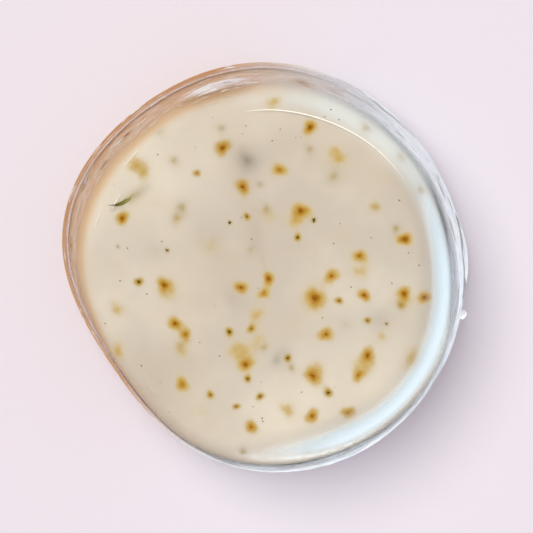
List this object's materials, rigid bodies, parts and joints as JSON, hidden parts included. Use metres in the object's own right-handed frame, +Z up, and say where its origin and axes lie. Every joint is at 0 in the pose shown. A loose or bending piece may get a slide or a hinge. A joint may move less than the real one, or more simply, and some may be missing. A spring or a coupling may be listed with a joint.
{
  "type": "shaving soap puck",
  "caption": "Round milky shaving soap puck with dried petals, herbs and seeds set in it, sealed in two crinkled webs of clear heat-shrink film.",
  "frame": {"origin": "middle of the footprint, on the flat underside of the lower film", "axes": "+Z up through the puck, square to its two flat faces; +X to the side with the bead of melted film; +Y to the side with the petals nearest the edge of the top face"},
  "size_m": [0.0756, 0.0774, 0.0259],
  "materials": {
    "soap": null,
    "film": "clear glossy heat-shrink film, smooth over the top and crinkled round the side",
    "dried_petal": "dried flower petal, rust to amber, dull",
    "dried_herb": "dried rubbed herb, olive to dark green, dull",
    "dark_seed": "small dark seed or stem scrap, grey-black, dull",
    "leaf": "slim dried leaf, dark olive at one end and pale at the other",
    "bud": "dried flower bud, dusty grey-violet, dull"
  },
  "bodies": {
    "lower_film": {"shrink_film_bottom": "film"},
    "puck": {"soap_puck": "soap", "petal_fleck_01": "dried_petal", "petal_fleck_02": "dried_petal", "petal_fleck_03": "dried_petal", "petal_fleck_04": "dried_petal", "petal_fleck_05": "dried_petal", "petal_fleck_06": "dried_petal", "petal_fleck_07": "dried_petal", "petal_fleck_08": "dried_petal", "petal_fleck_09": "dried_petal", "petal_fleck_10": "dried_petal", "petal_fleck_11": "dried_petal", "petal_fleck_12": "dried_petal", "petal_fleck_13": "dried_petal", "petal_fleck_14": "dried_petal", "petal_fleck_15": "dried_petal", "petal_fleck_16": "dried_petal", "petal_fleck_17": "dried_petal", "petal_fleck_18": "dried_petal", "petal_fleck_19": "dried_petal", "petal_fleck_20": "dried_petal", "petal_fleck_21": "dried_petal", "petal_fleck_22": "dried_petal", "petal_fleck_23": "dried_petal", "petal_fleck_24": "dried_petal", "petal_fleck_25": "dried_petal", "petal_fleck_26": "dried_petal", "petal_fleck_27": "dried_petal", "petal_fleck_28": "dried_petal", "herb_fleck_01": "dried_herb", "herb_fleck_02": "dried_herb", "herb_fleck_03": "dried_herb", "herb_fleck_04": "dried_herb", "herb_fleck_05": "dried_herb", "herb_fleck_06": "dried_herb", "herb_fleck_07": "dried_herb", "herb_fleck_08": "dried_herb", "herb_fleck_09": "dried_herb", "herb_fleck_10": "dried_herb", "herb_fleck_11": "dried_herb", "herb_fleck_12": "dried_herb", "herb_fleck_13": "dried_herb", "herb_fleck_14": "dried_herb", "dark_seed_01": "dark_seed", "dark_seed_02": "dark_seed", "dark_seed_03": "dark_seed", "dark_seed_04": "dark_seed", "dark_seed_05": "dark_seed", "wall_fleck_01": "dried_petal", "wall_fleck_02": "dried_petal", "wall_fleck_03": "dried_petal", "wall_fleck_04": "dried_petal", "wall_fleck_05": "dried_petal", "wall_fleck_06": "dried_petal", "herb_leaf": "leaf", "lavender_bud": "bud"},
    "upper_film": {"shrink_film_top": "film"}
  },
  "joints": [
    {"name": "puck_lift", "type": "slide", "parent": "lower_film", "child": "puck", "axis": [0, 0, 1], "range_m": [0, 0.03]},
    {"name": "film_peel", "type": "slide", "parent": "puck", "child": "upper_film", "axis": [0, 0, 1], "range_m": [0, 0.03]}
  ]
}
